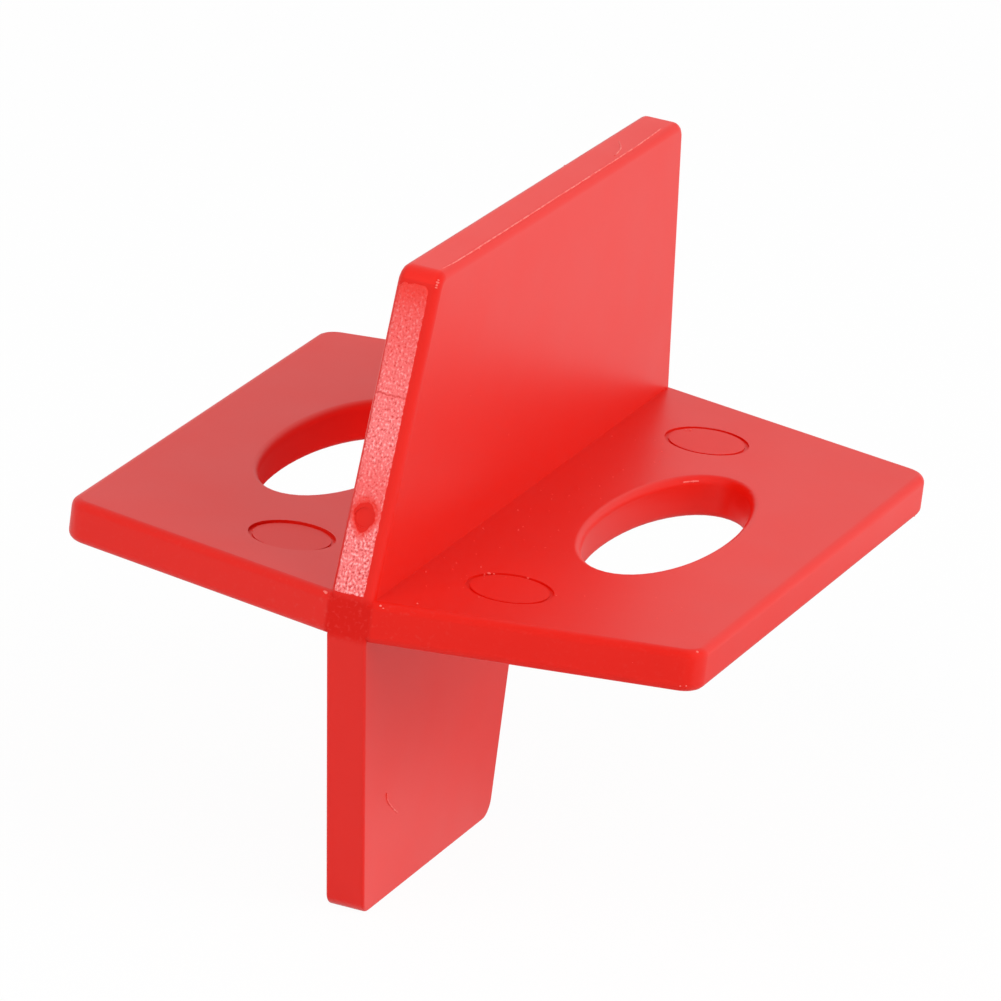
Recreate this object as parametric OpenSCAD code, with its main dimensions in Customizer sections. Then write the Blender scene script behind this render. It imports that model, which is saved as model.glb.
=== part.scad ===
// Two-ended tile spacer moulded in one piece.
// Four arms in a cross, each a slab with sloping ends; the lower arm is cut to half its length.
// The arms grow from a square core whose flat ends are flush with them.
// X runs across the blade, Y along it, Z up. The origin is where the four arms cross.

/* [Arms] */
// Thickness of the wings, the joint width that is sold
wing_thickness = 2; // [1.6:0.02:3]
// Thickness of the blade
blade_thickness = 2.08; // [1.6:0.02:3]
// Thickness of the tongue at its root
tongue_root_thickness = 1.9; // [1.6:0.02:3]
// Thickness of the tongue at its bottom edge
tongue_tip_thickness = 1.86; // [1.5:0.02:2.6]
// Distance from the middle to the front end of the core, where all four arms start
core_front = 19.4; // [18:0.05:22]
// Distance from the middle to the rear end of the core
core_rear = 19.2; // [18:0.05:22]
// Distance from the middle to either end of a wing along its tip
wing_tip = 15.65; // [13:0.05:17]
// Distance from the middle to the blade's front edge at its top
blade_front_tip = 15.7; // [13:0.1:17]
// Distance from the middle to the blade's rear edge at its top
blade_rear_tip = 15.9; // [13:0.1:17]
// Distance from the middle to the tongue's front edge at its bottom
tongue_front_tip = 14.9; // [13:0.05:17]
// Position along the axis of the tongue's upright rear edge
tongue_rear = 1.1; // [-6:0.05:6]
// Distance from the axis to the tip of a wing
wing_reach = 15.4; // [14:0.05:19]
// Distance from the axis to the blade's top at its front end
blade_reach = 15.45; // [11:0.05:20]
// How much the blade's top falls from its front end to its rear end
blade_fall = 0.45; // [0:0.05:1]
// Distance from the axis to the bottom of the tongue
tongue_reach = 15.4; // [8:0.1:20]

/* [Rounds] */
// Round along the edges of the wings and the blade
edge_round = 0.42; // [0.2:0.02:0.6]
// Small round along the edges of the tongue
tongue_edge_round = 0.14; // [0.08:0.02:0.4]
// Corner radius of a wing seen from above
wing_corner = 1.2; // [0.7:0.05:1.6]
// Corner radius of the blade seen from the side
blade_corner = 0.9; // [0.64:0.02:1.4]
// Corner radius of the tongue seen from the side
tongue_corner = 0.9; // [0.45:0.05:1.4]

/* [Wing holes] */
// Width of the oval hole across the wing
hole_width = 5.9; // [3:0.1:7.5]
// Length of the oval hole along the wing
hole_length = 15.8; // [8:0.1:17]
// Distance from the axis to the middle of the hole
hole_offset = 7.95; // [7.2:0.05:8.8]
// Round of the hole's rim
hole_rim_round = 0.4; // [0.2:0.05:0.6]

/* [Ejector marks] */
// Diameter of the round ejector marks on top of the wings
pin_dia = 4; // [2.4:0.1:4.6]
// Distance from the axis to an ejector mark across the wing
pin_across = 5.3; // [4.6:0.1:6.2]
// Half the distance between the front and rear ejector marks along the wing
pin_along = 12.95; // [12.4:0.05:13.4]
// How far the ejector marks sit in front of the middle
pin_shift = 0.4; // [0:0.05:0.6]
// Depth of the front left mark
pin_depth_front_left = 0.08; // [0.02:0.02:0.3]
// Depth of the front right mark
pin_depth_front_right = 0.02; // [0.02:0.02:0.3]
// Depth of the rear left mark
pin_depth_rear_left = 0.02; // [0.02:0.02:0.3]
// Depth of the rear right mark
pin_depth_rear_right = 0.02; // [0.02:0.02:0.3]
// Width of the fine ring round each mark
pin_ring_width = 0.2; // [0.1:0.02:0.4]
// Depth of that ring below the mark
pin_ring_depth = 0.08; // [0.04:0.02:0.2]

/* [Gate mark] */
// Diameter of the gate mark on the blade's front edge
gate_dia = 0.9; // [0.6:0.1:1.2]
// Depth of the gate mark
gate_depth = 0.06; // [0.02:0.02:0.2]
// Height of the gate mark above the axis
gate_height = 4.5; // [2.5:0.1:9]
// Distance of the gate mark to the left of the blade's middle
gate_shift = 0.18; // [0:0.02:0.3]

/* [Hidden] */
hole_sides = 56;
rim_steps = 4;
round_steps = 5;
wing_half = wing_thickness / 2;
blade_half = blade_thickness / 2;
clear_over = 1;

// Slope of an arm's end from the core's face to its tip, and how much longer that end is for it
function end_slope(root, tip, start, reach) = (root - tip) / (reach - start);
function end_stretch(slope) = sqrt(1 + slope * slope);

// Centres of an arm's round corners at the core's face and at its tip, as [along the axis, out from it]
function root_centre(root, slope, start, corner) =
    [root - corner, start - corner * (end_stretch(slope) - 1) / slope];
function tip_centre(root, slope, start, reach, corner) =
    [root - slope * (reach - corner - start) - corner * end_stretch(slope), reach - corner];

// Outline of a slab's rounded edge, from its upper face round to its lower face
function edge_outline(round, thick) = [for (s = [1, -1], i = [0:round_steps])
    let (a = 90 * (s > 0 ? round_steps - i : i) / round_steps)
    [round * cos(a), s * (thick / 2 - round + round * sin(a))]];

// A flat ring with a rounded outer edge, lying in XY, that gives a slab one of its corners
module rounded_corner(corner, round, thick) {
    rotate_extrude($fn = 32)
        translate([corner - round, 0])
            polygon(edge_outline(round, thick));
}

// The two wings as one slab with a flat stretch at the core, rounded corners and rounded edges
module wing_slab() {
    hull()
        for (side = [-1, 1]) {
            root = side < 0 ? core_front : core_rear;
            slope = end_slope(root, wing_tip, blade_half, wing_reach);
            for (c = [root_centre(root, slope, blade_half, wing_corner),
                      tip_centre(root, slope, blade_half, wing_reach, wing_corner)],
                 x = [-c[1], c[1]])
                translate([x, side * c[0], 0])
                    rounded_corner(wing_corner, edge_round, wing_thickness);
        }
}

// A corner turned to lie in the plane of the blade
module upright_corner(y, z, corner, round, thick) {
    translate([0, y, z])
        rotate([0, 90, 0])
            rounded_corner(corner, round, thick);
}

// One end of the blade, at the front for a side of -1 and at the rear for 1
module blade_end(side, root, tip, reach) {
    slope = end_slope(root, tip, wing_half, reach);
    low = root_centre(root, slope, wing_half, blade_corner);
    high = tip_centre(root, slope, wing_half, reach, blade_corner);
    for (c = [[low[0], 0], low, high])
        upright_corner(side * c[0], c[1], blade_corner, edge_round, blade_thickness);
}

// The upper arm over the whole length
module blade_slab() {
    hull() {
        blade_end(-1, core_front, blade_front_tip, blade_reach);
        blade_end(1, core_rear, blade_rear_tip, blade_reach - blade_fall);
    }
}

// The lower arm, kept only at the front end
module tongue_slab() {
    slope = end_slope(core_front, tongue_front_tip, wing_half, tongue_reach);
    low = root_centre(core_front, slope, wing_half, tongue_corner);
    high = tip_centre(core_front, slope, wing_half, tongue_reach, tongue_corner);
    rear = tongue_rear - tongue_corner;
    hull() {
        for (c = [[-low[0], 0], [-low[0], low[1]], [rear, 0]])
            upright_corner(c[0], -c[1], tongue_corner, tongue_edge_round, tongue_root_thickness);
        for (y = [-high[0], rear])
            upright_corner(y, -high[1], tongue_corner, tongue_edge_round, tongue_tip_thickness);
    }
}

// A point of the oval grown outwards by a distance
function oval_point(angle, grow, z) =
    let (
        a = hole_width / 2,
        b = hole_length / 2,
        nx = b * cos(angle),
        ny = a * sin(angle),
        n = sqrt(nx * nx + ny * ny)
    )
    [a * cos(angle) + grow * nx / n, b * sin(angle) + grow * ny / n, z];

// Distance outwards and height of each ring of the hole, from below to above
function rim_ring(t) = [hole_rim_round * (1 - cos(t)), wing_half - hole_rim_round + hole_rim_round * sin(t)];
upper_rings = [for (i = [0:rim_steps]) rim_ring(90 * i / rim_steps)];
top_ring = [hole_rim_round, wing_half + clear_over];
hole_rings = concat(
    [[top_ring[0], -top_ring[1]]],
    [for (i = [rim_steps:-1:0]) [upper_rings[i][0], -upper_rings[i][1]]],
    upper_rings,
    [top_ring]
);

// The body taken away for one oval hole with rounded rims
module hole_cut() {
    n = hole_sides;
    m = len(hole_rings);
    points = [for (ring = hole_rings, i = [0:n - 1]) oval_point(360 * i / n, ring[0], ring[1])];
    sides = [for (k = [0:m - 2], i = [0:n - 1]) let (j = (i + 1) % n)
        [k * n + i, (k + 1) * n + i, (k + 1) * n + j, k * n + j]];
    bottom = [for (i = [0:n - 1]) i];
    top = [for (i = [n - 1:-1:0]) (m - 1) * n + i];
    polyhedron(points = points, faces = concat([bottom], sides, [top]));
}

// A shallow round mark in the top of a wing, with a fine ring sunk along its edge
module pin_cut(x, y, depth) {
    translate([x, y, wing_half - depth])
        union() {
            cylinder(d = pin_dia, h = depth + clear_over, $fn = 64);
            rotate_extrude($fn = 64)
                translate([pin_dia / 2 - pin_ring_width, -pin_ring_depth])
                    square([pin_ring_width, depth + pin_ring_depth + clear_over]);
        }
}

// The shallow round gate mark, square to the blade's sloping front edge
module gate_cut() {
    slope = end_slope(core_front, blade_front_tip, wing_half, blade_reach);
    translate([-gate_shift, slope * (gate_height - wing_half) - core_front, gate_height])
        rotate([90 - atan(slope), 0, 0])
            translate([0, 0, -gate_depth])
                cylinder(d = gate_dia, h = gate_depth + clear_over, $fn = 48);
}

// The whole moulding
module tile_spacer() {
    color([0.86, 0.12, 0.1])
        difference() {
            union() {
                wing_slab();
                blade_slab();
                tongue_slab();
            }
            for (s = [-1, 1])
                translate([s * hole_offset, 0, 0])
                    hole_cut();
            translate([0, -pin_shift, 0]) {
                pin_cut(-pin_across, -pin_along, pin_depth_front_left);
                pin_cut(pin_across, -pin_along, pin_depth_front_right);
                pin_cut(-pin_across, pin_along, pin_depth_rear_left);
                pin_cut(pin_across, pin_along, pin_depth_rear_right);
            }
            gate_cut();
        }
}

tile_spacer();
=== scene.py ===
"""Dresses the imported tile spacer: red moulded plastic, an eroded blade edge, fine marks, a white studio."""

import logging
import math
from dataclasses import dataclass, field
from enum import Enum

import bmesh
import bpy
from mathutils import Matrix, Vector


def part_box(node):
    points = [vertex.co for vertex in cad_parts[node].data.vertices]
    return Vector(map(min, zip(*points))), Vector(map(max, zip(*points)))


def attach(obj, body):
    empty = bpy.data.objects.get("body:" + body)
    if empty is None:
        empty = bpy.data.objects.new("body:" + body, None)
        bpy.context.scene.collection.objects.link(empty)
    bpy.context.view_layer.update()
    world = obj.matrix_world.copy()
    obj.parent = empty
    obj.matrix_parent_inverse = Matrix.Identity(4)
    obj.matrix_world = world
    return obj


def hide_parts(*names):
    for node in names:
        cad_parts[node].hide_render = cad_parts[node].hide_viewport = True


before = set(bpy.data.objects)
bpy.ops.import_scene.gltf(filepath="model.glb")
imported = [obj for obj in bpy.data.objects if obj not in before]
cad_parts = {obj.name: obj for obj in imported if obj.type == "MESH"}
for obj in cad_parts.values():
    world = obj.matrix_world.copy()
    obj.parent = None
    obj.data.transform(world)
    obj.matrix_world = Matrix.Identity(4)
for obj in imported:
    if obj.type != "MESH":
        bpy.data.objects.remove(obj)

LOG = logging.getLogger("tile_spacer")
MM = 0.001
IMAGE_SIDE = 1001
BODY = "root"
NODE = "tile_spacer"

Colour = tuple[float, float, float, float]
Point = tuple[float, float, float]
Span = tuple[float, float]
Socket = bpy.types.NodeSocket
Input = Socket | float | str | tuple | Vector | bpy.types.Material

WHITE: Colour = (1.0, 1.0, 1.0, 1.0)


class Channel(Enum):
    """Named attributes that the meshes carry for their finishes."""

    EROSION = "erosion"
    GRAIN = "grain"
    SIZE = "speck_size"


class Detail(Enum):
    """Finer layers that a noise adds."""

    SOFT = 2.0
    UNEVEN = 3.0
    CRISP = 4.0


def linear(red: int, green: int, blue: int) -> Colour:
    """Turns a screen colour into the linear colour that a shader takes.

    Args:
        red: Red from 0 to 255.
        green: Green from 0 to 255.
        blue: Blue from 0 to 255.

    Returns:
        The linear colour with full alpha.
    """

    def channel(value: int) -> float:
        """Turns one screen value into a linear one."""
        share = value / 255
        return share / 12.92 if share <= 0.04045 else ((share + 0.055) / 1.055) ** 2.4

    return channel(red), channel(green), channel(blue), 1.0


def direction(azimuth_deg: float, elevation_deg: float) -> Vector:
    """Gives the way from the spacer to a lamp or to the camera.

    Args:
        azimuth_deg: Turn from the front to the right.
        elevation_deg: Lift above the level.

    Returns:
        A vector of length 1.
    """
    turn, lift = math.radians(azimuth_deg), math.radians(elevation_deg)
    return Vector((math.sin(turn) * math.cos(lift), -math.cos(turn) * math.cos(lift), math.sin(lift)))


def link(name: str, data: bpy.types.ID) -> bpy.types.Object:
    """Makes an object of a mesh, a lamp or a camera and links it to the scene."""
    made = bpy.data.objects.new(name, data)
    bpy.context.scene.collection.objects.link(made)
    return made


def bake_modifiers(obj: bpy.types.Object) -> None:
    """Turns an object's evaluated shape into its own plain mesh and removes its modifiers.

    Args:
        obj: The object to settle.
    """
    graph = bpy.context.evaluated_depsgraph_get()
    settled = obj.evaluated_get(graph)
    mesh = bpy.data.meshes.new_from_object(settled, preserve_all_data_layers=True, depsgraph=graph)
    mesh.name = obj.name
    obj.modifiers.clear()
    obj.data = mesh


class Graph:
    """A node tree with short ways to add and link nodes."""

    def __init__(self, tree: bpy.types.NodeTree) -> None:
        """Keeps the tree and empties it.

        Args:
            tree: The shader or geometry tree to fill.
        """
        self.tree = tree
        tree.nodes.clear()

    def node(self, kind: str, settings: dict[str, str] | None = None, **inputs: Input) -> bpy.types.Node:
        """Adds one node.

        Args:
            kind: Blender's name of the node's type.
            settings: Values for the node's own properties.
            inputs: Values or output sockets for its inputs, with _ for a space in the name.

        Returns:
            The new node.
        """
        made = self.tree.nodes.new(kind)
        for name, value in (settings or {}).items():
            setattr(made, name, value)
        for name, value in inputs.items():
            self.feed(made.inputs[name.replace("_", " ")], value)
        return made

    def feed(self, socket: Socket, value: Input) -> None:
        """Links an output socket to an input, or sets the input's value.

        Args:
            socket: The input.
            value: An output socket, or a plain value.
        """
        if isinstance(value, Socket):
            self.tree.links.new(value, socket)
        else:
            socket.default_value = value

    def math(self, operation: str, *values: Input) -> Socket:
        """Adds a Math node.

        Args:
            operation: Blender's name of the operation.
            values: Its operands, as numbers or output sockets.

        Returns:
            The node's output socket.
        """
        made = self.tree.nodes.new("ShaderNodeMath")
        made.operation = operation
        for socket, value in zip(made.inputs, values):
            self.feed(socket, value)
        return made.outputs[0]

    def product(self, *values: Input) -> Socket:
        """Multiplies any number of values.

        Args:
            values: Numbers or output sockets.

        Returns:
            The product's socket.
        """
        made = values[0]
        for value in values[1:]:
            made = self.math("MULTIPLY", made, value)
        return made

    def distance(self, across: Socket, along: Socket) -> Socket:
        """Gives the length of a step that goes across and along."""
        squares = [self.math("POWER", leg, 2.0) for leg in (across, along)]
        return self.math("SQRT", self.math("ADD", *squares))

    def split(self, vector: Socket) -> tuple[Socket, ...]:
        """Gives the X, Y and Z of a vector."""
        return tuple(self.node("ShaderNodeSeparateXYZ", Vector=vector).outputs)

    def vector(self, **parts: Input) -> Socket:
        """Makes a vector of X, Y and Z."""
        return self.node("ShaderNodeCombineXYZ", **parts).outputs["Vector"]

    def scaled(self, vector: Socket, scale: Input) -> Socket:
        """Multiplies a vector by a number."""
        made = self.node("ShaderNodeVectorMath", {"operation": "SCALE"}, Vector=vector, Scale=scale)
        return made.outputs["Vector"]

    def place_mm(self) -> Socket:
        """Gives a shader's Object coordinates in mm."""
        return self.scaled(self.node("ShaderNodeTexCoord").outputs["Object"], 1 / MM)

    def attribute(self, channel: Channel) -> Socket:
        """Gives a shader one of the mesh's named attributes."""
        return self.node("ShaderNodeAttribute", {"attribute_name": channel.value}).outputs["Fac"]

    def remap(self, value: Socket, low: float, high: float, to_low: float, to_high: float) -> Socket:
        """Adds a smooth Map Range node.

        Args:
            value: The output socket to map.
            low: Value that becomes to_low.
            high: Value that becomes to_high.
            to_low: Result at the low end.
            to_high: Result at the high end.

        Returns:
            The mapped socket.
        """
        made = self.node(
            "ShaderNodeMapRange",
            {"interpolation_type": "SMOOTHSTEP"},
            Value=value,
            From_Min=low,
            From_Max=high,
            To_Min=to_low,
            To_Max=to_high,
        )
        return made.outputs["Result"]

    def fade(self, value: Socket, start: float, full: float) -> Socket:
        """Rises smoothly from 0 where the value is at its start to 1 where it is full."""
        return self.remap(value, start, full, 0.0, 1.0)

    def noise(self, vector: Socket, scale: float, detail: Detail) -> Socket:
        """Adds a noise about 0, mostly between -0.5 and 0.5.

        Args:
            vector: Where the noise is read.
            scale: Cells per unit of the vector.
            detail: Finer layers to add.

        Returns:
            The noise.
        """
        made = self.node("ShaderNodeTexNoise", Vector=vector, Scale=scale, Detail=detail.value)
        return self.math("SUBTRACT", made.outputs["Fac"], 0.5)

    def mix_colour(self, factor: Input, first: Input, second: Input) -> Socket:
        """Adds a colour Mix node.

        Args:
            factor: Share of the second colour.
            first: Colour or output socket at factor 0.
            second: Colour or output socket at factor 1.

        Returns:
            The mixed colour's socket.
        """
        made = self.tree.nodes.new("ShaderNodeMix")
        made.data_type = "RGBA"
        factor_in = made.inputs["Factor"]
        first_in, second_in = [s for s in made.inputs if s.type == "RGBA"]
        for socket, value in ((factor_in, factor), (first_in, first), (second_in, second)):
            self.feed(socket, value)
        return next(s for s in made.outputs if s.type == "RGBA")

    def surface(self, **inputs: Input) -> None:
        """Ends a material's tree with a Principled BSDF that has these inputs."""
        shader = self.node("ShaderNodeBsdfPrincipled", **inputs)
        self.node("ShaderNodeOutputMaterial", Surface=shader.outputs["BSDF"])


def start_material(name: str) -> tuple[bpy.types.Material, Graph]:
    """Makes a material with an empty node tree.

    Args:
        name: The material's name.

    Returns:
        The material, and its tree to fill.
    """
    made = bpy.data.materials.new(name)
    made.use_nodes = True
    return made, Graph(made.node_tree)


class Recipe:
    """A Geometry Nodes group with named inputs that becomes one plain mesh."""

    def __init__(self, name: str, values: dict[str, float]) -> None:
        """Opens the group.

        Args:
            name: Name of the group and of the piece that it makes.
            values: The group's named inputs and what they are set to.
        """
        self.name = name
        self.values = values
        self.tree = bpy.data.node_groups.new(name, "GeometryNodeTree")
        self.graph = Graph(self.tree)
        self.tree.interface.new_socket("Geometry", in_out="INPUT", socket_type="NodeSocketGeometry")
        for label in values:
            self.tree.interface.new_socket(label, in_out="INPUT", socket_type="NodeSocketFloat")
        self.tree.interface.new_socket("Geometry", in_out="OUTPUT", socket_type="NodeSocketGeometry")
        self.entry = self.graph.node("NodeGroupInput")

    def value(self, label: str) -> Socket:
        """Gives the socket of a named input."""
        return self.entry.outputs[label]

    def position(self) -> Socket:
        """Gives where each point is, in metres."""
        return self.graph.node("GeometryNodeInputPosition").outputs["Position"]

    def beads(self, points: Socket, **placing: Input) -> Socket:
        """Sets a small ball of radius 1 on each point.

        Args:
            points: The points to set out on.
            placing: The balls' scale, and their rotation where they have one.

        Returns:
            The balls.
        """
        ball = self.graph.node("GeometryNodeMeshIcoSphere", Radius=1.0, Subdivisions=2).outputs["Mesh"]
        made = self.graph.node("GeometryNodeInstanceOnPoints", Points=points, Instance=ball, **placing)
        return made.outputs["Instances"]

    def piece(
        self, shape: Socket, material: bpy.types.Material, seed_mesh: bpy.types.Mesh
    ) -> bpy.types.Object:
        """Closes the group and turns what it makes into a plain object.

        Args:
            shape: The geometry socket to hand out.
            material: The finish that the shape gets.
            seed_mesh: The mesh that the group starts from.

        Returns:
            The finished object.
        """
        g = self.graph
        whole = g.node("GeometryNodeRealizeInstances", Geometry=shape)
        smooth = g.node("GeometryNodeSetShadeSmooth", Geometry=whole.outputs["Geometry"])
        dressed = g.node("GeometryNodeSetMaterial", Geometry=smooth.outputs["Geometry"], Material=material)
        g.node("NodeGroupOutput", Geometry=dressed.outputs["Geometry"])
        made = link(self.name, seed_mesh)
        grow = made.modifiers.new(self.name, "NODES")
        grow.node_group = self.tree
        for item in self.tree.interface.items_tree:
            if item.in_out == "INPUT" and item.name in self.values:
                grow[item.identifier] = self.values[item.name]
        bake_modifiers(made)
        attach(made, BODY)
        LOG.info("%s: %d faces", made.name, len(made.data.polygons))
        return made


@dataclass(frozen=True)
class RedPlastic:
    """Satin red moulded plastic, a little translucent, with painted light and shade: a glow on the hole
    walls, shade at the core's front end and light on the blade's top.

    A span says where a mark starts to show and where it is full. Spans of places are in mm.
    """

    name: str = "red_plastic"
    deep: Colour = linear(220, 22, 8)
    light: Colour = linear(224, 26, 11)
    mottle_per_mm: float = 0.25
    roughness: float = 0.42
    roughness_swing: float = 0.08
    matt_roughness: float = 1.0
    satin_per_mm: float = 6.0
    satin_depth_mm: float = 0.0008
    specular: float = 0.32
    translucency: float = 0.06
    spread_mm: float = 0.6
    spread_of_colours: Point = (1.0, 0.1, 0.08)
    pin_across_mm: float = 5.3
    pin_along_mm: float = 12.95
    pin_shift_mm: float = 0.4
    pin_radius_mm: float = 2.0
    pin_roughness: float = 0.05
    # Brighter red painted on the hole walls as a glow of light through the plastic.
    wall_glow: Colour = linear(244, 28, 18)
    wall_share_right: float = 0.1
    wall_depth_span: Span = (0.0, 0.3)
    hole_offset_mm: float = 7.95
    hole_width_mm: float = 5.9
    hole_length_mm: float = 15.8
    hole_margin: float = 1.183
    hole_sides_span: Span = (-1.0, 1.0)
    wing_half_mm: float = 1.0
    # Darker red painted at the core's front end as shade where the arms meet.
    core_shade: Colour = linear(211, 19, 8)
    core_front_mm: float = 19.4
    core_half_mm: float = 1.04
    core_share: float = 0.8
    core_across_span: Span = (1.2, 0.95)
    core_height_span: Span = (1.25, 0.75)
    end_slope: float = 0.261
    end_share: float = 0.7
    end_depth_span: Span = (0.3, 0.1)
    end_height_span: Span = (1.1, 0.9)
    scuff: Colour = linear(222, 66, 60)
    scuff_per_mm: float = 5.0
    scuff_noise_span: Span = (0.02, 0.28)
    scuff_share: float = 0.55
    scuff_away_span: Span = (1.5, 6.0)
    scuff_far_share: float = 0.35
    # Lighter red painted on the blade's flat top as light falling on it.
    top_light: Colour = linear(234, 30, 16)
    top_light_height_span: Span = (14.9, 15.0)
    top_light_across_span: Span = (0.85, 0.65)

    def hole_walls(self, g: Graph, place: Socket) -> Socket:
        """Marks the walls of the two oval holes, which get a painted glow of brighter red and a matt sheen.

        Args:
            g: The tree to fill.
            place: Object coordinates in mm.

        Returns:
            A socket that is 1 on the left hole's inner face, less on the right one's, and fades out at the
            rims.
        """
        x, y, z = g.split(place)
        across = g.math("SUBTRACT", g.math("ABSOLUTE", x), self.hole_offset_mm)
        across = g.math("DIVIDE", across, self.hole_width_mm / 2)
        along = g.math("DIVIDE", y, self.hole_length_mm / 2)
        near = g.math("LESS_THAN", g.distance(across, along), self.hole_margin)
        depth = g.math("SUBTRACT", self.wing_half_mm, g.math("ABSOLUTE", z))
        side = g.remap(x, *self.hole_sides_span, 1.0, self.wall_share_right)
        return g.product(near, g.fade(depth, *self.wall_depth_span), side)

    def core_end(self, g: Graph, place: Socket) -> Socket:
        """Marks the front end of the core, where the arms meet, which is matt and gets a painted shade of
        darker red.

        Args:
            g: The tree to fill.
            place: Object coordinates in mm.

        Returns:
            A socket that is 1 on the core's front end.
        """
        x, y, z = g.split(place)
        front = g.fade(g.math("ADD", y, self.core_front_mm), *self.end_depth_span)
        beside = g.fade(g.math("ABSOLUTE", x), *self.core_across_span)
        height = g.fade(g.math("ABSOLUTE", z), *self.core_height_span)
        return g.product(front, beside, height)

    def wing_ends(self, g: Graph, place: Socket) -> Socket:
        """Marks the sloping front ends of the wings.

        Args:
            g: The tree to fill.
            place: Object coordinates in mm.

        Returns:
            A socket that is up to the ends' share on them.
        """
        x, y, z = g.split(place)
        outward = g.math("SUBTRACT", g.math("ABSOLUTE", x), self.core_half_mm)
        behind = g.math("MULTIPLY_ADD", g.math("MAXIMUM", outward, 0.0), -self.end_slope, y)
        near = g.fade(g.math("ADD", behind, self.core_front_mm), *self.end_depth_span)
        height = g.fade(g.math("ABSOLUTE", z), *self.end_height_span)
        return g.product(near, height, self.end_share)

    def pin_faces(self, g: Graph, place: Socket) -> Socket:
        """Marks the four discs that the ejector pins left on the wings' tops.

        Args:
            g: The tree to fill.
            place: Object coordinates in mm.

        Returns:
            A socket that is 1 on the discs.
        """
        x, y, z = g.split(place)
        across = g.math("SUBTRACT", g.math("ABSOLUTE", x), self.pin_across_mm)
        along = g.math("ABSOLUTE", g.math("ADD", y, self.pin_shift_mm))
        along = g.math("SUBTRACT", along, self.pin_along_mm)
        inside = g.math("LESS_THAN", g.distance(across, along), self.pin_radius_mm)
        return g.math("MULTIPLY", inside, g.math("GREATER_THAN", z, 0.0))

    def scuffs(self, g: Graph, place: Socket, scuffed: Socket) -> Socket:
        """Breaks scuffed faces up into fine scuffs that thin out away from the core.

        Args:
            g: The tree to fill.
            place: Object coordinates in mm.
            scuffed: How scuffed each place is.

        Returns:
            A socket that says how much of the scuffs' colour shows.
        """
        noise = g.noise(place, self.scuff_per_mm, Detail.CRISP)
        fine = g.remap(noise, *self.scuff_noise_span, 0.0, self.scuff_share)
        away = g.math("ABSOLUTE", g.split(place)[0])
        return g.product(scuffed, fine, g.remap(away, *self.scuff_away_span, 1.0, self.scuff_far_share))

    def painted_top_light(self, g: Graph, place: Socket) -> Socket:
        """Marks the blade's flat top, where a lighter red is painted as light falling on it.

        Args:
            g: The tree to fill.
            place: Object coordinates in mm.

        Returns:
            A socket that is 1 on the top.
        """
        x, _, z = g.split(place)
        high = g.fade(z, *self.top_light_height_span)
        return g.math("MULTIPLY", high, g.fade(g.math("ABSOLUTE", x), *self.top_light_across_span))

    def material(self) -> bpy.types.Material:
        """Builds the plastic's material.

        Returns:
            The material, which reads Object coordinates.
        """
        made, g = start_material(self.name)
        place = g.place_mm()
        mottle = g.noise(place, self.mottle_per_mm, Detail.CRISP)
        satin = g.noise(place, self.satin_per_mm, Detail.SOFT)
        walls = self.hole_walls(g, place)
        core = self.core_end(g, place)
        ends = self.wing_ends(g, place)
        scuffs = self.scuffs(g, place, g.math("MAXIMUM", core, ends))
        colour = g.mix_colour(g.math("ADD", mottle, 0.5), self.deep, self.light)
        # Painted glow of brighter red on the hole walls.
        colour = g.mix_colour(walls, colour, self.wall_glow)
        # Painted shade of darker red at the core's front end.
        colour = g.mix_colour(core, colour, self.core_shade)
        colour = g.mix_colour(scuffs, colour, self.scuff)
        # Painted light on the blade's flat top.
        colour = g.mix_colour(self.painted_top_light(g, place), colour, self.top_light)
        right_end = g.math("MULTIPLY", ends, g.math("GREATER_THAN", g.split(place)[0], 0.0))
        front = g.math("MULTIPLY", g.math("MAXIMUM", core, right_end), self.core_share)
        matt = g.math("MAXIMUM", walls, front)
        rough = g.math("MULTIPLY_ADD", mottle, self.roughness_swing, self.roughness)
        rough = g.math("MULTIPLY_ADD", self.pin_faces(g, place), self.pin_roughness, rough)
        rough = g.math("MULTIPLY_ADD", matt, g.math("SUBTRACT", self.matt_roughness, rough), rough)
        grain = g.node("ShaderNodeBump", Height=satin, Distance=self.satin_depth_mm * MM, Strength=1.0)
        g.surface(
            Base_Color=colour,
            Roughness=rough,
            Normal=grain.outputs["Normal"],
            Specular_IOR_Level=self.specular,
            Subsurface_Weight=self.translucency,
            Subsurface_Radius=self.spread_of_colours,
            Subsurface_Scale=self.spread_mm * MM,
        )
        return made


@dataclass(frozen=True)
class ErodedPlasticAndGlints:
    """The same plastic with a pale coarse grain, as a spark-eroded mould leaves it; its pale tops are partly
    painted glints and its low pits partly painted shade.
    """

    name: str = "eroded_plastic_and_glints"
    smooth: Colour = linear(234, 48, 36)
    # The grain's colour follows its height: darker low pits are partly painted shade, paler tops partly
    # painted glints over the skin's own whitening.
    pit_and_shade: Colour = linear(206, 58, 54)
    middle: Colour = linear(246, 120, 120)
    fleck_and_glint: Colour = linear(254, 178, 177)
    middle_span: Span = (0.0, 0.45)
    fleck_span: Span = (0.55, 1.0)
    pale_from_mm: float = 15.2
    pale_to_mm: float = 7.5
    top_share: float = 0.36
    roughness: float = 0.5
    specular: float = 0.3

    def material(self) -> bpy.types.Material:
        """Builds the grain's material.

        Returns:
            The material, which reads the mesh's attributes and its height.
        """
        made, g = start_material(self.name)
        grain = g.attribute(Channel.GRAIN)
        # Darker in the low pits as painted shade and paler on the tops as painted glints, over the eroded
        # skin's own whitening.
        body = g.mix_colour(g.fade(grain, *self.middle_span), self.pit_and_shade, self.middle)
        body = g.mix_colour(g.fade(grain, *self.fleck_span), body, self.fleck_and_glint)
        height = g.split(g.place_mm())[2]
        share = g.remap(height, self.pale_to_mm, self.pale_from_mm, 1.0, self.top_share)
        erosion = g.math("MULTIPLY", g.attribute(Channel.EROSION), share)
        colour = g.mix_colour(erosion, self.smooth, body)
        g.surface(Base_Color=colour, Roughness=self.roughness, Specular_IOR_Level=self.specular)
        return made


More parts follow.
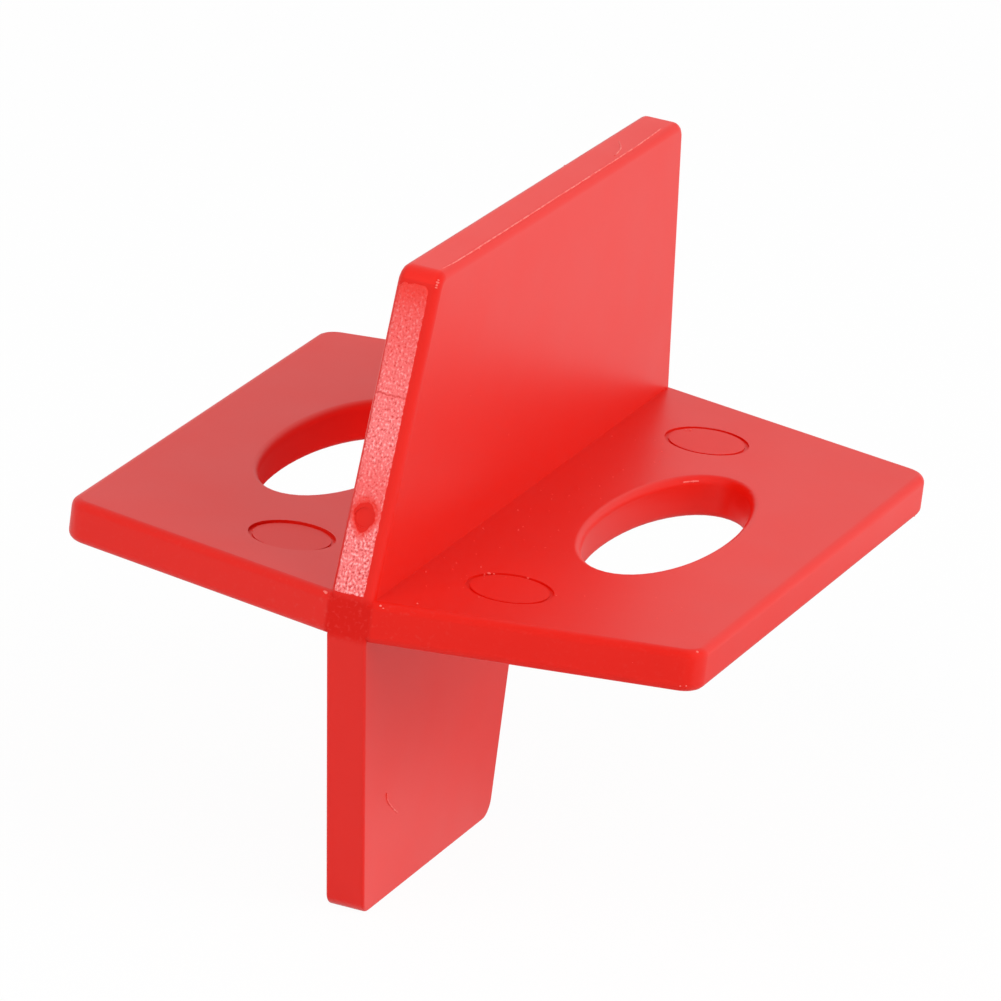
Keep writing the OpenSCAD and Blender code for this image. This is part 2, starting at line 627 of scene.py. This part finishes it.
@dataclass(frozen=True)
class WornPlasticAndHighlights:
    """Pale stressed plastic of fine flash, scratches and specks, which also paints the highlights on the
    blade's edges and a hole's rim.
    """

    name: str = "worn_plastic_and_highlights"
    pale: Colour = linear(236, 70, 62)
    bright: Colour = linear(246, 122, 114)
    flecks_per_mm: float = 3.0
    fleck_span: Span = (-0.15, 0.15)
    roughness: float = 0.45
    specular: float = 0.3

    def material(self) -> bpy.types.Material:
        """Builds the worn plastic's material.

        Returns:
            The material, which reads Object coordinates.
        """
        made, g = start_material(self.name)
        flecks = g.noise(g.place_mm(), self.flecks_per_mm, Detail.SOFT)
        colour = g.mix_colour(g.fade(flecks, *self.fleck_span), self.pale, self.bright)
        g.surface(Base_Color=colour, Roughness=self.roughness, Specular_IOR_Level=self.specular)
        return made


@dataclass
class Moulding:
    """The whole moulding, taken from the solid with its edges shaded round."""

    name: str = "moulded_spacer"
    merge_mm: float = 0.0005
    flat_deg: float = 0.2
    crease_deg: float = 32.0
    flat_weight: int = 100
    finish: RedPlastic = field(default_factory=RedPlastic)

    def build(self) -> bpy.types.Object:
        """Copies the solid's mesh, joins its triangles and evens out the shading of its flats.

        Returns:
            The moulding, on its body and in place of its solid.
        """
        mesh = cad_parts[NODE].data.copy()
        mesh.name = self.name
        shape = bmesh.new()
        shape.from_mesh(mesh)
        bmesh.ops.remove_doubles(shape, verts=shape.verts, dist=self.merge_mm * MM)
        bmesh.ops.dissolve_degenerate(shape, edges=shape.edges, dist=self.merge_mm * MM)
        flat, crease = math.radians(self.flat_deg), math.radians(self.crease_deg)
        bmesh.ops.dissolve_limit(shape, angle_limit=flat, verts=shape.verts, edges=shape.edges)
        for edge in shape.edges:
            edge.smooth = len(edge.link_faces) == 2 and edge.calc_face_angle(math.pi) < crease
        for face in shape.faces:
            face.smooth = True
        shape.to_mesh(mesh)
        shape.free()
        piece = link(self.name, mesh)
        even = piece.modifiers.new("even_flats", "WEIGHTED_NORMAL")
        even.keep_sharp = True
        even.weight = self.flat_weight
        bake_modifiers(piece)
        piece.data.materials.clear()
        piece.data.materials.append(self.finish.material())
        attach(piece, BODY)
        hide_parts(NODE)
        LOG.info("%s: %d faces", piece.name, len(piece.data.polygons))
        return piece


@dataclass
class ErodedEdge:
    """The coarse skin of the blade's sloping front edge, sunk into the moulding wherever it is smooth.

    Across is measured from the blade's middle, along from the skin's lower end up the slope, both in mm.
    A span says where something starts to show and where it is full. Ragged values say how far a noise
    pushes a border about.
    """

    name: str = "eroded_edge"
    blade_tip_mm: float = 15.7
    wing_half_mm: float = 1.0
    left_mm: float = -0.91
    right_mm: float = 0.62
    low_mm: float = 1.02
    high_mm: float = 14.95
    skin_mm: float = 0.34
    flat_half_mm: float = 0.62
    edge_round_mm: float = 0.42
    columns: int = 64
    rows: int = 560
    depth_mm: float = 0.04
    proud_mm: float = 0.028
    sunk_mm: float = 0.12
    seed: float = 7.0
    grain_per_mm: float = 10.0
    grain_stretch: float = 1.3
    grain_middle: float = 0.55
    grain_contrast: float = 2.7
    foot_contrast: float = 3.4
    foot_contrast_mm: float = 1.2
    pits_per_mm: float = 7.5
    pit_span: Span = (0.32, 0.12)
    pit_depth: float = 0.8
    ragged_per_mm: float = 3.0
    side_ragged: float = 0.12
    left_span: Span = (0.01, 0.06)
    right_span: Span = (0.0, 0.06)
    foot_ragged: float = 0.4
    foot_span: Span = (0.02, 0.14)
    foot_rise_span: Span = (0.0, 0.5)
    top_half_mm: float = 0.4
    top_curve: float = 2.0
    top_ragged: float = 0.3
    top_span: Span = (0.02, 0.2)
    gate_across_mm: float = -0.18
    gate_height_mm: float = 4.5
    gate_half_width_mm: float = 0.54
    gate_half_length_mm: float = 0.68
    gate_narrow: float = 0.7
    gate_ragged: float = 0.45
    gate_span: Span = (0.85, 1.05)
    gate_veil_span: Span = (0.95, 1.7)
    gate_veil: float = 0.15
    above_gate_in: Span = (-0.6, 0.2)
    above_gate_out: Span = (3.6, 1.2)
    above_gate_loss: float = 0.4
    top_veil_mm: float = 1.8
    top_veil: float = 0.2
    step_height_mm: float = 9.91
    step_ragged: float = 0.3
    step_span: Span = (0.07, 0.025)
    step_depth: float = 0.7
    crack_across_mm: float = -0.1
    crack_height_mm: float = 4.85
    crack_radius_mm: float = 0.42
    crack_span: Span = (0.06, 0.025)
    crack_right_span: Span = (0.1, 0.18)
    crack_up_span: Span = (0.1, 0.16)
    finish: ErodedPlasticAndGlints = field(default_factory=ErodedPlasticAndGlints)

    def __post_init__(self) -> None:
        """Works out the slope of the blade's front edge from the solid's box."""
        low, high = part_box(NODE)
        self.core_front_mm = -low.y / MM
        self.slope = (self.core_front_mm - self.blade_tip_mm) / (high.z / MM - self.wing_half_mm)
        self.stretch = math.hypot(1.0, self.slope)
        self.length_mm = (self.high_mm - self.low_mm) * self.stretch
        self.middle_mm = (self.left_mm + self.right_mm) / 2

    def along(self, height_mm: float) -> float:
        """Gives the distance along the skin of a height above the axis."""
        return (height_mm - self.low_mm) * self.stretch

    def coarse_zone(self, g: Graph, x: Socket, s: Socket, jitter: Socket, reach: Socket) -> Socket:
        """Marks where the skin is coarse.

        Args:
            g: The tree to fill.
            x: Place across, in mm.
            s: Place along, in mm.
            jitter: Noise that makes the borders ragged.
            reach: Distance from the gate's scar, with its border at 1.

        Returns:
            A socket that is 1 on the grain and 0 where the moulding is smooth.
        """
        shaken = g.math("MULTIPLY_ADD", jitter, self.side_ragged, x)
        left = g.fade(g.math("SUBTRACT", shaken, self.left_mm), *self.left_span)
        right = g.fade(g.math("SUBTRACT", self.right_mm, shaken), *self.right_span)
        foot = g.fade(g.math("MULTIPLY_ADD", jitter, self.foot_ragged, s), *self.foot_span)
        aside = g.math("ABSOLUTE", g.math("SUBTRACT", x, self.middle_mm))
        corner = g.math("MAXIMUM", g.math("SUBTRACT", aside, self.top_half_mm), 0.0)
        below = g.math("SUBTRACT", self.length_mm, s)
        below = g.math("MULTIPLY_ADD", g.math("POWER", corner, 2.0), -self.top_curve, below)
        top = g.fade(g.math("MULTIPLY_ADD", jitter, self.top_ragged, below), *self.top_span)
        return g.product(left, right, foot, top, g.fade(reach, *self.gate_span))

    def gate_reach(self, g: Graph, x: Socket, s: Socket, jitter: Socket) -> Socket:
        """Measures how far a place is from the gate's scar, which is narrower below.

        Args:
            g: The tree to fill.
            x: Place across, in mm.
            s: Place along, in mm.
            jitter: Noise that makes the border ragged.

        Returns:
            A socket that is 1 on the scar's border, less inside it and more outside.
        """
        half = self.gate_half_length_mm
        rise = g.math("SUBTRACT", s, self.along(self.gate_height_mm))
        narrow = g.remap(rise, -half, half / 2, self.gate_narrow, 1.0)
        across = g.math("DIVIDE", g.math("SUBTRACT", x, self.gate_across_mm), self.gate_half_width_mm)
        across = g.math("DIVIDE", across, narrow)
        reach = g.distance(across, g.math("DIVIDE", rise, half))
        return g.math("MULTIPLY_ADD", jitter, self.gate_ragged, reach)

    def grooves(self, g: Graph, x: Socket, s: Socket, jitter: Socket) -> Socket:
        """Marks the fine step across the edge and the small crack beside the gate.

        Args:
            g: The tree to fill.
            x: Place across, in mm.
            s: Place along, in mm.
            jitter: Noise that makes the step uneven.

        Returns:
            A socket that is up to 1 in the grooves.
        """
        rise = g.math("SUBTRACT", s, self.along(self.step_height_mm))
        rise = g.math("ABSOLUTE", g.math("MULTIPLY_ADD", jitter, self.step_ragged, rise))
        step = g.remap(rise, *self.step_span, 0.0, self.step_depth)
        right = g.math("SUBTRACT", x, self.crack_across_mm)
        up = g.math("SUBTRACT", s, self.along(self.crack_height_mm))
        off = g.math("ABSOLUTE", g.math("SUBTRACT", g.distance(right, up), self.crack_radius_mm))
        quarter = g.product(g.fade(right, *self.crack_right_span), g.fade(up, *self.crack_up_span))
        return g.math("MAXIMUM", step, g.math("MULTIPLY", g.fade(off, *self.crack_span), quarter))

    def grain(self, g: Graph, x: Socket, s: Socket, seed: Socket) -> tuple[Socket, Socket]:
        """Makes the coarse grain with its pits, but without the grooves.

        Args:
            g: The tree to fill.
            x: Place across, in mm.
            s: Place along, in mm.
            seed: Where the noise is cut.

        Returns:
            The grain's height, and how deep its pits are, both from about 0 to 1.
        """
        spread = g.vector(X=x, Y=seed, Z=g.math("DIVIDE", s, self.grain_stretch))
        gate, foot = self.along(self.gate_height_mm), self.along(self.gate_height_mm - self.foot_contrast_mm)
        contrast = g.remap(s, gate, foot, self.grain_contrast, self.foot_contrast)
        noise = g.noise(spread, self.grain_per_mm, Detail.CRISP)
        height = g.math("MULTIPLY_ADD", noise, contrast, self.grain_middle)
        cells = g.node("ShaderNodeTexVoronoi", Vector=spread, Scale=self.pits_per_mm)
        return height, g.remap(cells.outputs["Distance"], *self.pit_span, 0.0, self.pit_depth)

    def veil(self, g: Graph, s: Socket, zone: Socket, reach: Socket) -> Socket:
        """Says how pale the skin is, which is less round the gate, above it and at the top.

        Args:
            g: The tree to fill.
            s: Place along, in mm.
            zone: Where the skin is coarse.
            reach: Distance from the gate's scar, with its border at 1.

        Returns:
            A socket that is 1 where the skin is palest.
        """
        rise = g.math("SUBTRACT", s, self.along(self.gate_height_mm))
        above = g.product(g.fade(rise, *self.above_gate_in), g.fade(rise, *self.above_gate_out))
        return g.product(
            zone,
            g.remap(reach, *self.gate_veil_span, self.gate_veil, 1.0),
            g.math("MULTIPLY_ADD", above, -self.above_gate_loss, 1.0),
            g.remap(s, self.length_mm, self.length_mm - self.top_veil_mm, self.top_veil, 1.0),
        )

    def edge_drop(self, g: Graph, x: Socket) -> Socket:
        """Gives how far the blade's left edge round falls away from the flat.

        Args:
            g: The tree to fill.
            x: Place across, in mm.

        Returns:
            The fall in mm.
        """
        over = g.math("SUBTRACT", g.math("MULTIPLY", x, -1.0), self.flat_half_mm)
        over = g.math("POWER", g.math("MAXIMUM", over, 0.0), 2.0)
        chord = g.math("SQRT", g.math("SUBTRACT", self.edge_round_mm**2, over))
        return g.math("SUBTRACT", self.edge_round_mm, chord)

    def lay(self, g: Graph, shape: Socket) -> Socket:
        """Lays the upright block on the blade's slope.

        Args:
            g: The tree to fill.
            shape: The block, centred on the origin.

        Returns:
            The block in its place.
        """
        upward = Vector((0.0, self.slope, 1.0)) / self.stretch
        inward = Vector((0.0, 1.0, -self.slope)) / self.stretch
        front = self.slope * (self.low_mm - self.wing_half_mm) - self.core_front_mm
        foot = Vector((self.middle_mm, front, self.low_mm))
        centre = foot + upward * self.length_mm / 2 + inward * self.skin_mm / 2
        lean = (-math.atan(self.slope), 0.0, 0.0)
        laid = g.node("GeometryNodeTransform", Geometry=shape, Translation=centre * MM, Rotation=lean)
        return laid.outputs["Geometry"]

    def build(self) -> bpy.types.Object:
        """Grows the skin on a thin block and lays it on the slope.

        Returns:
            The skin.
        """
        inputs = {"Depth": self.depth_mm, "Proud": self.proud_mm, "Sunk": self.sunk_mm, "Seed": self.seed}
        recipe = Recipe(self.name, inputs)
        g = recipe.graph
        block = g.node(
            "GeometryNodeMeshCube",
            Size=Vector((self.right_mm - self.left_mm, self.skin_mm, self.length_mm)) * MM,
            Vertices_X=self.columns,
            Vertices_Y=2,
            Vertices_Z=self.rows,
        )
        across, depth, along = g.split(g.scaled(recipe.position(), 1 / MM))
        x = g.math("ADD", across, self.middle_mm)
        s = g.math("ADD", along, self.length_mm / 2)
        flat = g.vector(X=x, Y=recipe.value("Seed"), Z=s)
        jitter = g.noise(flat, self.ragged_per_mm, Detail.UNEVEN)
        reach = self.gate_reach(g, x, s, jitter)
        zone = self.coarse_zone(g, x, s, jitter, reach)
        grain, pits = self.grain(g, x, s, recipe.value("Seed"))
        hollow = g.math("MAXIMUM", pits, self.grooves(g, x, s, jitter))
        height = g.math("MULTIPLY", grain, g.math("SUBTRACT", 1.0, hollow))

        swing = g.product(recipe.value("Depth"), g.math("SUBTRACT", height, 0.5))
        proud = g.math("ADD", recipe.value("Proud"), swing)
        grown = g.product(zone, proud, g.fade(s, *self.foot_rise_span))
        sunk = g.product(g.math("SUBTRACT", 1.0, zone), recipe.value("Sunk"))
        front = g.math("LESS_THAN", depth, 0.0)
        outward = g.math("MULTIPLY", g.math("SUBTRACT", grown, sunk), front)
        shift = g.math("SUBTRACT", self.edge_drop(g, x), outward)

        shape = block.outputs["Mesh"]
        for channel, value in ((Channel.EROSION, self.veil(g, s, zone, reach)), (Channel.GRAIN, height)):
            stored = g.node("GeometryNodeStoreNamedAttribute", Geometry=shape, Name=channel.value)
            g.feed(stored.inputs["Value"], value)
            shape = stored.outputs["Geometry"]
        offset = g.vector(Y=g.math("MULTIPLY", shift, MM))
        moved = g.node("GeometryNodeSetPosition", Geometry=shape, Offset=offset)
        laid = self.lay(g, moved.outputs["Geometry"])
        return recipe.piece(laid, self.finish.material(), bpy.data.meshes.new(self.name))


@dataclass
class FineLines:
    """Fine raised lines by their points in mm: flash that is partly a painted highlight, a scratch, a
    crescent and a painted highlight on a hole's rim.
    """

    name: str = "fine_lines"
    # Flash along the blade's top edge, partly a painted highlight on the edge's round.
    blade_flash_and_highlight: tuple[Point, ...] = (
        (-0.6, -14.75, 15.408),
        (0.4, -14.6, 15.408),
        (0.74, -13.6, 15.39),
        (0.74, -2.0, 15.23),
        (0.72, 9.0, 15.07),
        (0.6, 13.8, 15.01),
    )
    blade_scratch: tuple[Point, ...] = ((-0.2, 10.3, 15.07), (0.3, 9.2, 15.09), (0.5, 7.9, 15.1))
    tongue_crescent: tuple[Point, ...] = (
        (0.945, -13.93, -9.77),
        (0.945, -13.5, -10.34),
        (0.945, -12.1, -11.25),
    )
    # A painted highlight along the right hole's rim.
    rim_highlight: tuple[Point, ...] = ((6.3, 6.66, 0.8), (6.55, 7.02, 0.8), (6.82, 7.34, 0.8))
    thickness_mm: float = 0.07
    piece_mm: float = 0.08
    wander_mm: float = 0.06
    wanders_per_mm: float = 0.5
    breaks_per_mm: float = 0.9
    break_span: Span = (0.06, 0.22)
    thinnest: float = 0.05
    bead_sides: int = 8
    finish: WornPlasticAndHighlights = field(default_factory=WornPlasticAndHighlights)

    def routes(self) -> bpy.types.Mesh:
        """Draws the lines' routes as plain edges.

        Returns:
            The mesh that the lines grow from.
        """
        points, edges = [], []
        for route in (self.blade_flash_and_highlight, self.blade_scratch, self.tongue_crescent, self.rim_highlight):
            first = len(points)
            points += [Vector(point) * MM for point in route]
            edges += [(i, i + 1) for i in range(first, len(points) - 1)]
        mesh = bpy.data.meshes.new(self.name)
        mesh.from_pydata(points, edges, [])
        return mesh

    def build(self) -> bpy.types.Object:
        """Sweeps a fine uneven bead along each route.

        Returns:
            The lines.
        """
        recipe = Recipe(self.name, {"Thickness": self.thickness_mm * MM, "Wander": self.wander_mm * MM})
        g = recipe.graph
        curve = g.node("GeometryNodeMeshToCurve", Mesh=recipe.value("Geometry")).outputs["Curve"]
        bent = g.node("GeometryNodeCurveSplineType", {"spline_type": "CATMULL_ROM"}, Curve=curve)
        fine = g.node("GeometryNodeResampleCurve", {"mode": "LENGTH"}, Length=self.piece_mm * MM)
        g.feed(fine.inputs["Curve"], bent.outputs["Curve"])
        place = g.scaled(recipe.position(), 1 / MM)
        aside = g.noise(place, self.wanders_per_mm, Detail.UNEVEN)
        breaks = g.noise(place, self.breaks_per_mm, Detail.UNEVEN)
        offset = g.vector(X=g.math("MULTIPLY", aside, recipe.value("Wander")))
        moved = g.node("GeometryNodeSetPosition", Geometry=fine.outputs["Curve"], Offset=offset)
        size = g.remap(breaks, *self.break_span, self.thinnest, 1.0)
        sized = g.node("GeometryNodeSetCurveRadius", Curve=moved.outputs["Geometry"], Radius=size)
        half = g.math("DIVIDE", recipe.value("Thickness"), 2.0)
        ring = g.node("GeometryNodeCurvePrimitiveCircle", Resolution=self.bead_sides, Radius=half)
        bead = g.node(
            "GeometryNodeCurveToMesh",
            Curve=sized.outputs["Curve"],
            Profile_Curve=ring.outputs["Curve"],
            Fill_Caps=True,
        )
        return recipe.piece(bead.outputs["Mesh"], self.finish.material(), self.routes())


@dataclass
class Specks:
    """Small nicks and specks, and a few painted highlights, each a place in mm and a size in mm."""

    name: str = "specks"
    places: tuple[tuple[Point, float], ...] = (
        # Front tip of the blade: a painted highlight along its right edge
        ((0.85, -15.59, 15.14), 0.07),
        ((0.85, -15.67, 15.05), 0.1),
        ((0.85, -15.735, 14.94), 0.1),
        ((0.85, -15.78, 14.84), 0.07),
        # Front of the wings' tops
        ((2.68, -18.1, 1.0), 0.06),
        ((3.79, -12.08, 1.0), 0.1),
        ((4.0, -12.0, 1.0), 0.06),
        ((5.45, -11.46, 1.0), 0.06),
        ((7.32, -12.8, 1.0), 0.05),
        ((4.59, -15.41, 1.0), 0.05),
        ((-6.95, -13.95, 1.0), 0.05),
        # Upper edge beside the core
        ((-1.25, -19.22, 0.88), 0.14),
        ((-1.32, -19.18, 0.9), 0.1),
        ((1.35, -19.19, 0.88), 0.1),
        ((1.5, -19.2, 0.8), 0.06),
        # Right wing's edges, rear mark and hole
        ((15.02, -15.3, 0.9), 0.13),
        ((15.32, 14.2, -0.78), 0.08),
        ((4.11, 13.56, 1.0), 0.08),
        ((3.95, 13.4, 1.0), 0.05),
        # A painted highlight on the right hole's rim.
        ((6.63, 7.12, 0.8), 0.1),
        ((14.62, -15.82, -0.65), 0.06),
        ((14.85, -15.7, -0.62), 0.07),
        ((12.46, -16.4, 0.11), 0.04),
        # Top of the blade, then its right side
        ((0.78, -10.5, 15.3), 0.1),
        ((0.76, 2.3, 15.12), 0.07),
        ((0.78, 4.5, 15.06), 0.1),
        ((-0.9, 5.0, 15.03), 0.07),
        ((1.04, -3.73, 4.7), 0.05),
        ((1.04, -9.74, 8.2), 0.04),
    )
    seed: float = 5.0
    finish: WornPlasticAndHighlights = field(
        default_factory=lambda: WornPlasticAndHighlights(name="speck_plastic", pale=linear(244, 112, 102))
    )

    def build(self) -> bpy.types.Object:
        """Sets a small uneven bead on each place.

        Returns:
            The specks.
        """
        mesh = bpy.data.meshes.new(self.name)
        mesh.from_pydata([Vector(place) * MM for place, _ in self.places], [], [])
        sizes = mesh.attributes.new(Channel.SIZE.value, "FLOAT", "POINT")
        sizes.data.foreach_set("value", [size * MM / 2 for _, size in self.places])
        recipe = Recipe(self.name, {"Seed": self.seed})
        g = recipe.graph
        size = g.node("GeometryNodeInputNamedAttribute", {"data_type": "FLOAT"}, Name=Channel.SIZE.value)
        uneven = g.node("ShaderNodeTexWhiteNoise", {"noise_dimensions": "4D"}, Vector=recipe.position())
        g.feed(uneven.inputs["W"], recipe.value("Seed"))
        longer = g.vector(X=g.math("ADD", uneven.outputs["Value"], 1.0), Y=1.0, Z=1.0)
        scale = g.scaled(longer, size.outputs["Attribute"])
        beads = recipe.beads(recipe.value("Geometry"), Rotation=uneven.outputs["Color"], Scale=scale)
        return recipe.piece(beads, self.finish.material(), mesh)


@dataclass(frozen=True)
class DustField:
    """A level field with fine dust on it, in mm."""

    centre: Point
    across_mm: float
    along_mm: float
    specks_per_mm2: float


@dataclass
class Dust:
    """Fine dust on the right wing, most of it beside the blade."""

    name: str = "dust"
    fields: tuple[DustField, ...] = (
        DustField((3.0, -3.0, 1.0), 3.4, 28.0, 0.6),
        DustField((10.5, -11.0, 1.0), 5.0, 5.0, 0.3),
    )
    least_mm: float = 0.03
    most_mm: float = 0.07
    size_seed: int = 2
    finish: WornPlasticAndHighlights = field(
        default_factory=lambda: WornPlasticAndHighlights("dust_plastic", linear(236, 70, 62), linear(246, 112, 104))
    )

    def build(self) -> bpy.types.Object:
        """Scatters the dust over each field.

        Returns:
            The dust.
        """
        recipe = Recipe(self.name, {"Least": self.least_mm * MM / 2, "Most": self.most_mm * MM / 2})
        g = recipe.graph
        joined = g.node("GeometryNodeJoinGeometry")
        for seed, spot in enumerate(self.fields):
            sheet = g.node("GeometryNodeMeshGrid", Size_X=spot.across_mm * MM, Size_Y=spot.along_mm * MM)
            laid = g.node("GeometryNodeTransform", Geometry=sheet.outputs["Mesh"])
            laid.inputs["Translation"].default_value = Vector(spot.centre) * MM
            points = g.node(
                "GeometryNodeDistributePointsOnFaces",
                Mesh=laid.outputs["Geometry"],
                Density=spot.specks_per_mm2 / MM**2,
                Seed=seed,
            )
            g.feed(joined.inputs["Geometry"], points.outputs["Points"])
        size = g.node("FunctionNodeRandomValue", Seed=self.size_seed)
        number_sockets = [socket for socket in size.inputs if socket.type == "VALUE" and socket.enabled]
        for socket, label in zip(number_sockets, ("Least", "Most")):
            g.feed(socket, recipe.value(label))
        grown = next(socket for socket in size.outputs if socket.enabled)
        beads = recipe.beads(joined.outputs["Geometry"], Scale=grown)
        return recipe.piece(beads, self.finish.material(), bpy.data.meshes.new(self.name))


@dataclass
class Lamp:
    """A soft square lamp that faces the spacer."""

    name: str
    azimuth_deg: float
    elevation_deg: float
    distance_mm: float
    side_mm: float
    watts: float

    def build(self) -> bpy.types.Object:
        """Makes the lamp and turns it to the origin.

        Returns:
            The lamp.
        """
        data = bpy.data.lights.new(self.name, "AREA")
        data.size = self.side_mm * MM
        data.energy = self.watts
        made = link(self.name, data)
        made.visible_glossy = False
        away = direction(self.azimuth_deg, self.elevation_deg)
        made.location = away * self.distance_mm * MM
        made.rotation_euler = away.to_track_quat("Z", "Y").to_euler()
        return made


@dataclass
class Studio:
    """White floor, even white surroundings, soft lamps and the camera.

    In reflections the floor is dimmer in a ring to the right, between the dim and the clear distances.
    """

    floor_side_mm: float = 6000.0
    floor_white: float = 0.93
    backdrop_share: float = 0.96
    surroundings: float = 0.53
    dim_from_mm: float = 8.0
    dim_full_mm: float = 26.0
    clear_from_mm: float = 58.0
    clear_full_mm: float = 80.0
    dim_share: float = 0.45
    dim_forward_mm: float = 12.0
    sensor_mm: float = 36.0
    focal_px: float = 11441.3
    azimuth_deg: float = 18.631
    elevation_deg: float = 18.702
    roll_deg: float = 7.485
    distance_mm: float = 526.037
    aim_right_mm: float = -0.148
    aim_up_mm: float = 0.219
    nearest_mm: float = 10.0
    farthest_mm: float = 20000.0
    lamps: tuple[Lamp, ...] = (
        Lamp("key_right", 110.0, 12.0, 420.0, 320.0, 0.8),
        Lamp("upper_right", 80.0, 40.0, 420.0, 320.0, 0.45),
        Lamp("upper_front", -10.0, 40.0, 420.0, 320.0, 0.75),
    )

    def background_rays(self, g: Graph) -> Socket:
        """Picks out the rays that should see a plain white background.

        Args:
            g: The tree to fill.

        Returns:
            A socket that is 1 for camera, mirror and see-through rays.
        """
        path = g.node("ShaderNodeLightPath")
        seen = g.math("MAXIMUM", path.outputs["Is Camera Ray"], path.outputs["Is Glossy Ray"])
        return g.math("MAXIMUM", seen, path.outputs["Is Transmission Ray"])

    def floor_paint(self) -> bpy.types.Material:
        """Builds the floor's matt white, which glows white where it is the background.

        Returns:
            The material.
        """
        paint, g = start_material("white_floor")
        matt = g.node("ShaderNodeBsdfDiffuse", Color=(self.floor_white,) * 3 + (1.0,))
        x, y, _ = g.split(g.place_mm())
        away = g.distance(x, g.math("ADD", y, self.dim_forward_mm))
        ring = g.product(
            g.fade(away, self.dim_from_mm, self.dim_full_mm),
            g.fade(away, self.clear_full_mm, self.clear_from_mm),
            g.fade(x, -self.dim_full_mm, 0.0),
        )
        mirrored = g.node("ShaderNodeLightPath").outputs["Is Glossy Ray"]
        bright = g.math("SUBTRACT", 1.0, g.product(ring, mirrored, self.dim_share))
        white = g.node("ShaderNodeEmission", Color=WHITE, Strength=bright)
        share = g.math("MULTIPLY", self.background_rays(g), self.backdrop_share)
        blend = g.node("ShaderNodeMixShader", Fac=share)
        g.feed(blend.inputs[1], matt.outputs["BSDF"])
        g.feed(blend.inputs[2], white.outputs["Emission"])
        g.node("ShaderNodeOutputMaterial", Surface=blend.outputs["Shader"])
        return paint

    def floor(self) -> bpy.types.Object:
        """Lays the floor under the spacer.

        Returns:
            The floor.
        """
        low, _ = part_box(NODE)
        half = self.floor_side_mm * MM / 2
        mesh = bpy.data.meshes.new("floor")
        corners = [(x * half, y * half, low.z) for x, y in ((-1, -1), (1, -1), (1, 1), (-1, 1))]
        mesh.from_pydata(corners, [], [(0, 1, 2, 3)])
        mesh.materials.append(self.floor_paint())
        made = link("floor", mesh)
        return made

    def sky(self) -> None:
        """Sets even white surroundings that look plain white behind the spacer."""
        world = bpy.data.worlds.new("studio")
        bpy.context.scene.world = world
        world.use_nodes = True
        g = Graph(world.node_tree)
        strength = g.remap(self.background_rays(g), 0.0, 1.0, self.surroundings, 1.0)
        light = g.node("ShaderNodeBackground", Color=WHITE, Strength=strength)
        g.node("ShaderNodeOutputWorld", Surface=light.outputs["Background"])

    def camera(self) -> bpy.types.Object:
        """Places the camera as the photograph's was.

        Returns:
            The camera.
        """
        turn, roll = math.radians(self.azimuth_deg), math.radians(self.roll_deg)
        back = direction(self.azimuth_deg, self.elevation_deg)
        right = Vector((math.cos(turn), math.sin(turn), 0.0))
        up = back.cross(right)
        across = right * math.cos(roll) + up * math.sin(roll)
        upward = up * math.cos(roll) - right * math.sin(roll)
        data = bpy.data.cameras.new("camera")
        data.sensor_width = self.sensor_mm
        data.lens = self.focal_px / IMAGE_SIDE * self.sensor_mm
        data.clip_start = self.nearest_mm * MM
        data.clip_end = self.farthest_mm * MM
        made = link("camera", data)
        spot = (back * self.distance_mm + across * self.aim_right_mm + upward * self.aim_up_mm) * MM
        turned = Matrix((across, upward, back)).transposed().to_4x4()
        made.matrix_world = Matrix.Translation(spot) @ turned
        bpy.context.scene.camera = made
        return made

    def build(self) -> None:
        """Sets up the floor, the surroundings, the lamps and the camera."""
        bpy.context.scene.view_settings.view_transform = "Standard"
        self.floor()
        self.sky()
        for lamp in self.lamps:
            lamp.build()
        self.camera()
        LOG.info("studio: %d lamps", len(self.lamps))


def main() -> None:
    """Builds the pieces and the studio in order."""
    logging.basicConfig(level=logging.INFO, format="%(name)s %(message)s")
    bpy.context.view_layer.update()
    for piece in (Moulding(), ErodedEdge(), FineLines(), Specks(), Dust()):
        piece.build()
    Studio().build()


if __name__ == "__main__":
    main()
